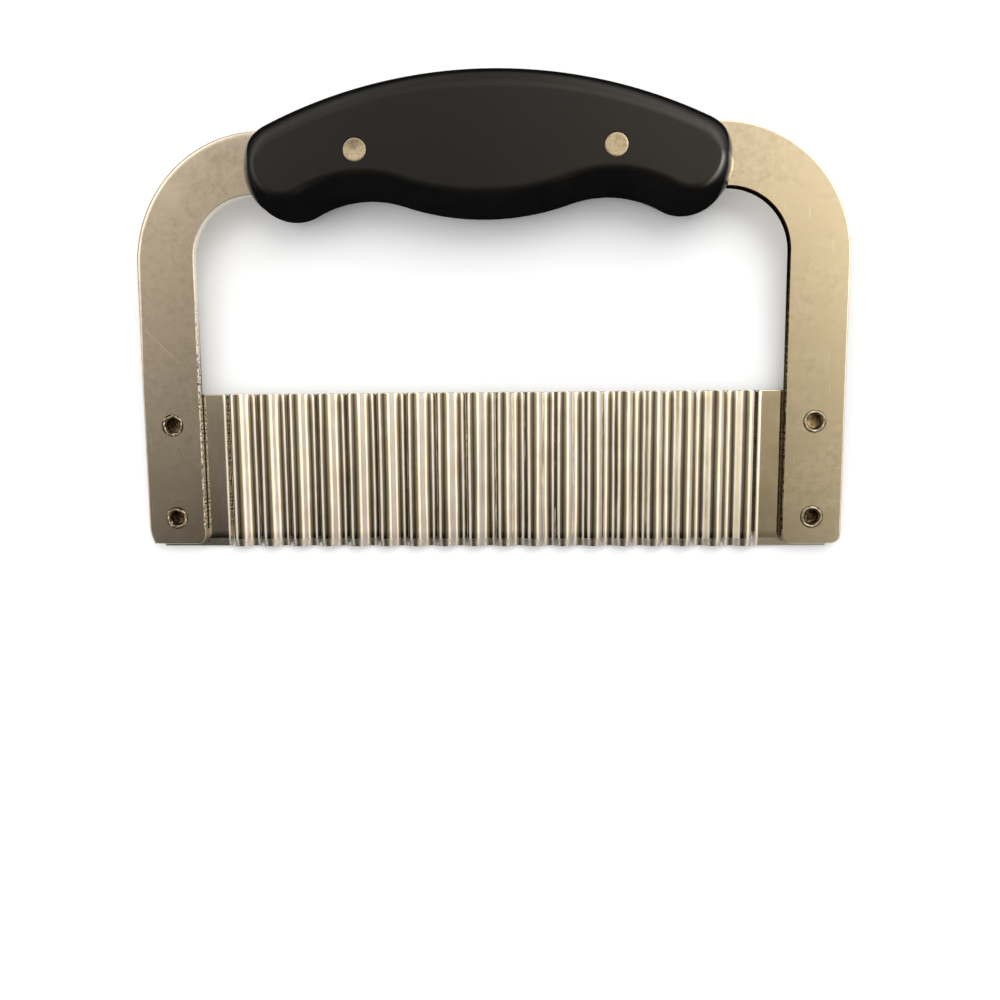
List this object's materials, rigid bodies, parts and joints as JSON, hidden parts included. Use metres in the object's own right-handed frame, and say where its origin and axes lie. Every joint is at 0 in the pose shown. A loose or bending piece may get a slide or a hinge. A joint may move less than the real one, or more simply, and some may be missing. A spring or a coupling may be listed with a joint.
{
  "type": "crinkle cutter",
  "caption": "Hand crinkle cutter: a corrugated steel blade riveted behind the legs of a flat steel bow, with a black moulded grip over the top bar, pressed down to cut wavy slices.",
  "frame": {"origin": "middle of the bounding box in X and Y, on the plane of the grip's back face, with the cutter lying on its back", "axes": "+X along the blade to the right as seen from the front, +Y from the cutting edge to the grip, +Z out of the front face"},
  "size_m": [0.178, 0.1156, 0.017],
  "materials": {
    "bow_steel": "satin stamped stainless sheet with bright sheared edges",
    "blade_steel": "polished corrugated stainless sheet with a ground edge",
    "rivet_steel": "tumbled nickel-plated steel, rolled and pressed in setting",
    "grip_plastic": "satin black moulded plastic"
  },
  "bodies": {
    "root": {"bow": "bow_steel", "blade": "blade_steel", "front_scale": "grip_plastic", "back_scale": "grip_plastic", "sleeve_left": "rivet_steel", "sleeve_right": "rivet_steel", "pin_left": "rivet_steel", "pin_right": "rivet_steel", "rivet_left_upper": "rivet_steel", "rivet_left_lower": "rivet_steel", "rivet_right_upper": "rivet_steel", "rivet_right_lower": "rivet_steel"}
  },
  "joints": []
}
